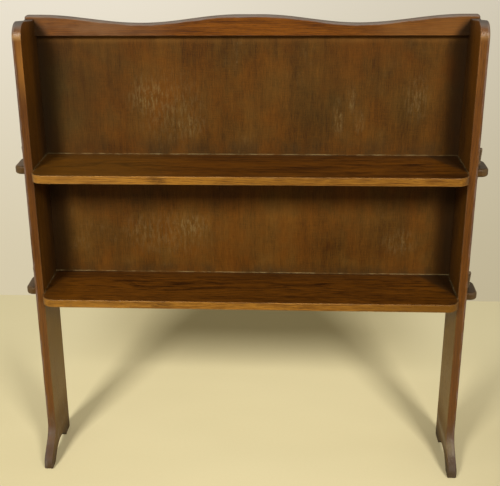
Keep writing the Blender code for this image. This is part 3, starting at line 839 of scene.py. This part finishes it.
def plywood(name, palette):
    """Stained plywood: upright grain under a fine weave of brush marks, a cloudy staining, painted shade in
    the corners, beside the ends, on the left of the upper bay and thinly near the ends of the lower bay,
    scuffs, and dust along the shelves. Its rear is unstained, and its edges show the plies."""
    nodes = Nodes(name)
    place, x, y, z = nodes.place("ZXY")
    faces = nodes.normals()
    reach = nodes.math("ABSOLUTE", x)
    upper_shelf_low, upper_shelf_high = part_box("upper_shelf")
    cloud = nodes.noise(place, (6.0, 9.0, 9.0), 5.0, 0.62)
    bloom = nodes.noise(place, (9.0, 12.0, 12.0), 5.0, 0.65)
    streak = nodes.noise(place, (8.0, 130, 130), 4.0, 0.65)
    fibre = nodes.noise(place, (45, 750, 750), 3.0, 0.6)
    weft = nodes.noise(place, (520, 34, 34), 3.0, 0.6)
    speck = nodes.noise(place, (420, 420, 420), 2.0, 0.6)
    rusty = nodes.noise(place, (7.0, 11.0, 7.0), 4.0, 0.6, 0.6)

    tone = nodes.layered(((cloud, 1.6), (streak, 0.8), (fibre, 1.1), (weft, 0.5), (speck, 0.6)))
    orange = nodes.mix(tone, palette["dark"], palette["light"])
    orange = nodes.mix(nodes.span(rusty, 0.45, 0.70, 0.0, 0.32), orange, palette["rust"])
    olive = nodes.mix(tone, palette["olive_dark"], palette["olive_light"])
    aged = nodes.times(nodes.span(bloom, 0.38, 0.62), 0.42)
    zones = nodes.times(patches(nodes, place, OLIVES), nodes.span(bloom, 0.28, 0.60, 0.4, 1.0))
    colour = nodes.mix(nodes.strongest(aged, zones), orange, olive)

    # Painted shade in the corners just above each shelf
    shelf_corner_shades = []
    for shelf, run in zip(SHELVES, (0.05, 0.03)):
        gap = nodes.math("SUBTRACT", z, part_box(shelf)[1].z)
        shelf_corner_shades.append(nodes.times(nodes.span(gap, run, 0.004), nodes.math("GREATER_THAN", gap, -0.001)))
    shelf_corner_shade = nodes.times(nodes.strongest(*shelf_corner_shades), nodes.span(bloom, 0.40, 0.64, 0.1, 0.6))
    # Painted shade beside the ends, where their shadows fall, and above the shelves
    deep_shade = nodes.strongest(nodes.span(reach, INNER_HALF - 0.052, INNER_HALF - 0.004), shelf_corner_shade)
    deep_shade = nodes.times(deep_shade, nodes.span(cloud, 0.2, 0.8, 0.65, 0.95))
    colour = nodes.mix(deep_shade, colour, PAINTED_SHADE)
    # Painted shade: darker on the left of the upper bay and near the ends in the lower bay
    shady = nodes.times(nodes.span(x, -0.18, -0.34, 0.0, 0.20),
                        nodes.math("GREATER_THAN", z, upper_shelf_high.z))
    lower_bay_shade = nodes.times(nodes.span(reach, 0.16, 0.36, 0.0, 0.10),
                        nodes.math("LESS_THAN", z, upper_shelf_low.z))
    colour = nodes.mix(nodes.strongest(shady, lower_bay_shade), colour, PAINTED_SHADE)
    under_rail = nodes.times(nodes.span(z, rail_low.z - 0.022, rail_low.z - 0.006),
                             nodes.span(cloud, 0.3, 0.6, 0.15, 0.5), nodes.rest(deep_shade))
    colour = nodes.mix(under_rail, colour, UNDER_RAIL)

    strokes = nodes.noise(place, (44, 170, 170), 5.0, 0.74)
    scuffs = nodes.strongest(patches(nodes, place, SCUFFS), nodes.span(bloom, 0.56, 0.74, 0.0, 0.35))
    scuffs = nodes.times(scuffs, nodes.span(strokes, 0.44, 0.66))
    colour = nodes.mix(nodes.times(scuffs, 0.58), colour, SCUFF)
    foot = nodes.strongest(*[nodes.near(z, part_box(shelf)[1].z + 0.0008, 0.0017) for shelf in SHELVES])
    ragged = nodes.noise(place, (160, 40, 160), 3.0, 0.65)
    dust = nodes.times(foot, nodes.span(ragged, 0.40, 0.64, 0.1, 0.9))
    colour = nodes.mix(nodes.times(dust, 0.62), colour, DUST)

    raw_tone = nodes.layered(((cloud, 1.2), (streak, 1.4), (fibre, 0.9), (bloom, 0.8)))
    rear = nodes.mix(raw_tone, palette["rear_dark"], palette["rear_light"])
    colour = nodes.mix(nodes.span(y, END_BACK_Y + 0.0015, END_BACK_Y + 0.003), colour, rear)
    colour = nodes.mix(pin_stains(nodes, x, y, z), colour, PIN_STAIN)
    ply = nodes.math("FRACT", nodes.times(nodes.math("SUBTRACT", y, END_BACK_Y), 1 / PLY_THICKNESS))
    plies = nodes.mix(nodes.span(ply, 0.25, 0.4, 0.35, 1.0), *PLY_TONES)
    colour = nodes.mix(nodes.span(nodes.across_face(faces, "Y"), 0.6, 0.3), colour, plies)

    roughness = nodes.plus(0.42, cloud, 0.2)
    roughness = nodes.plus(roughness, scuffs, 0.2)
    height = nodes.plus(nodes.times(fibre, 0.5), weft, 0.4)
    height = nodes.plus(height, scuffs, 0.5)
    return nodes.finish(colour, roughness, height, PLYWOOD_BUMP, palette["sheen"])


def steel(name, colour):
    """Dulled steel with a brushed grain and rust in its hollows."""
    nodes = Nodes(name)
    place = nodes.place()[0]
    rust = nodes.noise(place, (900, 900, 900), 4.0, 0.6)
    grain = nodes.noise(place, (300, 300, 5000), 2.0, 0.5)
    mixed = nodes.mix(nodes.span(rust, 0.50, 0.68, 0.0, 0.7), colour, (0.12, 0.055, 0.028))
    nodes.shader.inputs["Metallic"].default_value = 0.85
    roughness = nodes.plus(0.30, grain, 0.3)
    return nodes.finish(mixed, roughness, grain, STEEL_BUMP)


def floor_material():
    """A pale cloth, darker on the right. It fades into the surround far from the bookcase, and somewhat
    beside it where it meets the wall, where the glow is painted light that lifts the lamps' shadows."""
    nodes = Nodes("floor cloth")
    place, x, y, _ = nodes.place()
    crumple = nodes.noise(place, (1.6, 3.0, 3.0), 2.0, 0.5)
    thread = nodes.noise(place, (160, 160, 160), 2.0, 0.6)
    tone = nodes.plus(nodes.times(crumple, 0.7), thread, 0.3)
    colour = nodes.mix(tone, *CLOTH_TONES)
    colour = nodes.mix(nodes.span(x, 0.25, 0.85), colour, FLOOR_SHADE, "MULTIPLY")
    made = nodes.finish(colour, 0.95, crumple, CLOTH_BUMP, sheen=0.0)
    far = nodes.span(nodes.vector("LENGTH", place), FLOOR_FADE_START, FLOOR_FADE_END)
    # Painted light: near the wall beside the bookcase the floor glows, lifting the lamps' shadows
    beside = nodes.span(nodes.math("ABSOLUTE", x), 0.30, 0.56)
    painted_lift = nodes.times(beside, nodes.span(y, 0.05, 0.65, 0.0, 0.5))
    hue = nodes.mix(far, FLOOR_GLOW, SURROUND_COLOUR)
    far = nodes.times(nodes.strongest(far, painted_lift), background_rays(nodes))
    glow = nodes.node("ShaderNodeEmission", {"Color": hue, "Strength": 1.0})
    mixed = nodes.node("ShaderNodeMixShader", {0: far, 1: nodes.shader.outputs[0], 2: glow.outputs[0]})
    nodes.tree.links.new(mixed.outputs[0], nodes.tree.nodes["Material Output"].inputs[0])
    return made


def background_rays(nodes):
    """1 for the rays that may see the background: the camera's, and those of gloss and glass."""
    path = nodes.node("ShaderNodeLightPath").outputs
    return nodes.strongest(path["Is Camera Ray"], path["Is Glossy Ray"], path["Is Transmission Ray"])


def wall_material():
    """A pale wall, paler higher up and darker on the right, that fades into the surround. Only the
    camera, gloss and glass see it, and only from its front."""
    nodes = Nodes("wall")
    place, x, _, z = nodes.place()
    tone = nodes.noise(place, (1.5, 1.5, 1.5), 2.0, 0.5)
    up = nodes.math("POWER", nodes.span(z, 0, WALL_TONE_HEIGHT, smooth=False), 1.5)
    up = nodes.plus(up, tone, 0.1)
    colour = nodes.mix(nodes.math("ADD", up, 0.0, clamp=True), WALL_LOW, WALL_HIGH)
    colour = nodes.mix(nodes.span(x, -0.5, 0.8, 0.0, 1.0), colour, WALL_SHADE, "MULTIPLY")
    far = nodes.span(nodes.vector("LENGTH", place), WALL_FADE_START, WALL_FADE_END)
    colour = nodes.mix(far, colour, SURROUND_COLOUR)
    glow = nodes.node("ShaderNodeEmission", {"Color": colour, "Strength": 1.0})
    clear = nodes.node("ShaderNodeBsdfTransparent")
    behind = nodes.node("ShaderNodeNewGeometry").outputs["Backfacing"]
    seen = nodes.times(background_rays(nodes), nodes.rest(behind))
    mixed = nodes.node("ShaderNodeMixShader", {0: seen, 1: clear.outputs[0], 2: glow.outputs[0]})
    nodes.tree.nodes.remove(nodes.shader)
    nodes.tree.links.new(mixed.outputs[0], nodes.tree.nodes["Material Output"].inputs[0])
    return nodes.material


# Pieces

# In a palette, ring is the width of a growth ring in metres, and the weights are those of streaks,
# rings, dashes, fibres and patches. The edge colours are for what doesn't face the axis face, and
# inner_wear is the share of the wear on the inner arrises.

def fit(piece, node, material):
    """Gives a piece its material, and lets it stand for its node and ride on the node's body."""
    piece.data.materials.clear()
    piece.data.materials.append(material)
    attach(piece, frame["nodes"][node]["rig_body"])
    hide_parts(node)


def stand_up(low, high):
    """Where a board that is drawn as seen from the front stands, midway in the depth of its box."""
    return Matrix.Translation((0, (low.y + high.y) / 2, 0)) @ Matrix.Rotation(math.pi / 2, 4, "X")


def make_ends():
    palette = {
        "ring": 0.0030,
        "weights": (2.0, 0.26, 1.1, 0.5, 1.4),
        "sheen": 0.21,
        "dark": (0.046, 0.0155, 0.0010),
        "light": (0.140, 0.0520, 0.0045),
        "face": "X",
        "edge_dark": (0.075, 0.0230, 0.0018),
        "edge_light": (0.152, 0.0540, 0.0050),
        "edge_gloss": -0.06,
        "end": (0.050, 0.0260, 0.0110),
        # The pale worn colour is lightened and greyed to paint the reflection of the pale wall on the
        # arrises, besides wear
        "pale": (0.162, 0.1080, 0.0800),
        "wear": 0.80,
        "inner_wear": 0.25,
    }
    upright = Matrix(((0, 0, 1, 0), (1, 0, 0, 0), (0, 1, 0, 0), (0, 0, 0, 1)))
    half_width = TENON_WIDTH / 2 + FIT
    for side, name in ((-1, "left_end"), (1, "right_end")):
        low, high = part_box(name)
        arrises = (END_OUTER_ARRIS, END_INNER_ARRIS)[::side]
        stand = Matrix.Translation(((low.x + high.x) / 2, END_FRONT_Y, 0)) @ upright
        end = board(name + "_wood", end_outline(), END_THICKNESS, stand, arrises, seed=side * 5)
        mortises = []
        for shelf in SHELVES:
            shelf_low, shelf_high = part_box(shelf)
            mortises.append(box_cutter((low.x - OVERRUN, TENON_MID_Y - half_width, shelf_low.z - FIT),
                                       (high.x + OVERRUN, TENON_MID_Y + half_width, shelf_high.z + FIT)))
        cut(end, mortises)
        even_shading(end)
        wood = oak(name + " oak", "Z", pith=(side * 0.40, 0.03), palette=palette, marks=end_marks)
        fit(end, name, wood)


def make_shelves():
    palette = {
        "ring": 0.0028,
        "streak": (8.0, 140, 140),
        "weights": (2.1, 0.34, 2.2, 1.5, 1.4),
        "sheen": 0.12,
        "dark": (0.026, 0.0066, 0.0001),
        "light": (0.134, 0.0430, 0.0024),
        "face": "Z",
        "edge_dark": (0.105, 0.0360, 0.0030),
        "edge_light": (0.285, 0.1230, 0.0140),
        "edge_gloss": -0.02,
        "end": (0.060, 0.0300, 0.0120),
        "pale": (0.300, 0.155, 0.0450),
        "wear": 0.45,
    }
    for seed, name in enumerate(SHELVES, start=2):
        low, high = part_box(name)
        level = Matrix.Translation((0, 0, (low.z + high.z) / 2))
        shelf = board(name + "_wood", shelf_outline(low, high), high.z - low.z, level,
                      (SHELF_ARRIS, SHELF_ARRIS), seed)
        slots = []
        for side, side_name in ((-1, "left"), (1, "right")):
            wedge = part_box(f"wedge_{name.split('_')[0]}_{side_name}")
            slots.append(wedge_slot(*wedge, low, high, side))
        cut(shelf, slots)
        even_shading(shelf)
        wood = oak(name + " oak", "X", pith=(0.02, low.z - 0.09), palette=palette, marks=shelf_marks(high.z))
        fit(shelf, name, wood)


def make_rail():
    palette = {
        "ring": 0.0026,
        "weights": (2.4, 0.36, 1.6, 0.7, 1.6),
        "sheen": 0.11,
        "dark": (0.052, 0.0130, 0.0003),
        "light": (0.170, 0.0520, 0.0028),
        "end": (0.060, 0.030, 0.0120),
        "pale": (0.185, 0.140, 0.1120),
        "wear": 0.85,
    }
    stand = stand_up(rail_low, rail_high)
    rail = board("top_rail_wood", rail_outline(), RAIL_THICKNESS, stand, (RAIL_ARRIS, RAIL_ARRIS), seed=7)
    cut(rail, [countersink(*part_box(name)) for name in ("rail_screw_left", "rail_screw_right")])
    even_shading(rail)
    wood = oak("rail oak", "X", pith=(0.13, 0.90), palette=palette, marks=rail_marks)
    fit(rail, "top_rail", wood)


def make_wedges():
    palette = {
        "ring": 0.0024,
        "weights": (2.4, 0.40, 1.5, 0.7, 1.5),
        "sheen": 0.25,
        "dark": (0.046, 0.0260, 0.0105),
        "light": (0.130, 0.0770, 0.0320),
        "end": (0.092, 0.0580, 0.0280),
        "pale": (0.200, 0.1400, 0.0820),
        "wear": 0.60,
    }
    for shelf in ("upper", "lower"):
        for side, side_name in ((-1, "left"), (1, "right")):
            name = f"wedge_{shelf}_{side_name}"
            low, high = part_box(name)
            wedge = board(name + "_wood", wedge_outline(low, high, side), high.y - low.y,
                          stand_up(low, high), (WEDGE_ARRIS, WEDGE_ARRIS), seed=side * 11 + low.z)
            even_shading(wedge)
            wood = oak(name + " oak", "Z", pith=(side * 0.44, 0.06), palette=palette, gloss=0.50)
            fit(wedge, name, wood)


def dress_frame():
    """Materials for the nodes that are shown as packed."""
    panel = plywood("panel plywood", {
        "dark": (0.036, 0.0112, 0.0004),
        "light": (0.132, 0.0465, 0.0033),
        "rust": (0.124, 0.0370, 0.0020),
        "olive_dark": (0.031, 0.0160, 0.0018),
        "olive_light": (0.094, 0.0510, 0.0085),
        "rear_dark": (0.200, 0.105, 0.042),
        "rear_light": (0.460, 0.290, 0.140),
        "sheen": 0.10,
    })
    pins = steel("pin steel", (0.20, 0.17, 0.145))
    screws = steel("screw steel", (0.33, 0.30, 0.26))
    for name, node in frame["nodes"].items():
        if name == "back_panel":
            finish, slot = panel, "plywood"
        elif name.startswith("panel_pin"):
            finish, slot = pins, "pin_steel"
        elif name.startswith("rail_screw"):
            finish, slot = screws, "screw_steel"
        else:
            continue
        node.data.materials.clear()
        node.data.materials.append(finish)


# Stage

WALL_Y = 0.83
STAGE_HALF_WIDTH = 7.0
WALL_HEIGHT = 5.0
WALL_TONE_HEIGHT = 1.3
WALL_LOW = (0.66, 0.575, 0.385)
WALL_HIGH = (0.92, 0.86, 0.76)
WALL_SHADE = (0.785, 0.775, 0.735)
CLOTH_TONES = ((0.73, 0.625, 0.345), (0.82, 0.71, 0.42))
LAMP_PLACES = ((-1.50, -3.30, 2.70), (1.52, -3.30, 2.70))
LAMP_AIMS = ((-0.50, 0, 0.35), (0.50, 0, 0.35))
LAMP_SIZE = 0.8
LAMP_SPREAD_DEGREES = 54
LAMP_POWERS = (14.5, 13)
FILL_COLOUR = (0.24, 0.222, 0.175)
SURROUND_COLOUR = (0.86, 0.80, 0.68)
FLOOR_SHADE = (0.81, 0.81, 0.82)
FLOOR_GLOW = (0.86, 0.75, 0.44)
FLOOR_FADE_START = 1.25
FLOOR_FADE_END = 2.3
WALL_FADE_START = 1.8
WALL_FADE_END = 4.5


def make_world():
    """A soft fill for the light, and a pale surround for the rays that may see it."""
    world = bpy.data.worlds.new("studio")
    world.use_nodes = True
    nodes = Nodes(tree=world.node_tree)
    colour = nodes.mix(background_rays(nodes), FILL_COLOUR, SURROUND_COLOUR)
    nodes.feed(world.node_tree.nodes["Background"].inputs["Color"], colour)
    return world


def plane(name, corners, material):
    mesh = bmesh.new()
    mesh.faces.new([mesh.verts.new(corner) for corner in corners])
    made = new_object(name, mesh)
    made.data.materials.append(material)


def make_stage():
    w = STAGE_HALF_WIDTH
    plane("floor", [(-w, -w, 0), (w, -w, 0), (w, w, 0), (-w, w, 0)], floor_material())
    plane("wall", [(-w, WALL_Y, 0), (w, WALL_Y, 0), (w, WALL_Y, WALL_HEIGHT), (-w, WALL_Y, WALL_HEIGHT)],
          wall_material())
    lamps = zip(LAMP_PLACES, LAMP_AIMS, LAMP_POWERS)
    for number, (place, aim, power) in enumerate(lamps, start=1):
        lamp = bpy.data.lights.new(f"softbox_{number}", "AREA")
        lamp.shape = "SQUARE"
        lamp.size = LAMP_SIZE
        lamp.energy = power
        lamp.spread = math.radians(LAMP_SPREAD_DEGREES)
        holder = bpy.data.objects.new(f"softbox_{number}", lamp)
        holder.location = place
        holder.rotation_euler = (Vector(aim) - Vector(place)).to_track_quat("-Z", "Y").to_euler()
        bpy.context.scene.collection.objects.link(holder)
    bpy.context.scene.world = make_world()
    bpy.context.scene.view_settings.view_transform = "Standard"


def make_camera():
    lens = bpy.data.cameras.new("camera")
    lens.lens = CAMERA_LENS
    lens.sensor_width = CAMERA_SENSOR
    lens.shift_x = CAMERA_SHIFT
    camera = bpy.data.objects.new("camera", lens)
    camera.location = CAMERA_PLACE
    camera.rotation_euler = Euler([math.radians(a) for a in CAMERA_TURN_DEGREES])
    bpy.context.scene.collection.objects.link(camera)
    bpy.context.scene.camera = camera


make_camera()
make_ends()
make_shelves()
make_rail()
make_wedges()
dress_frame()
make_stage()
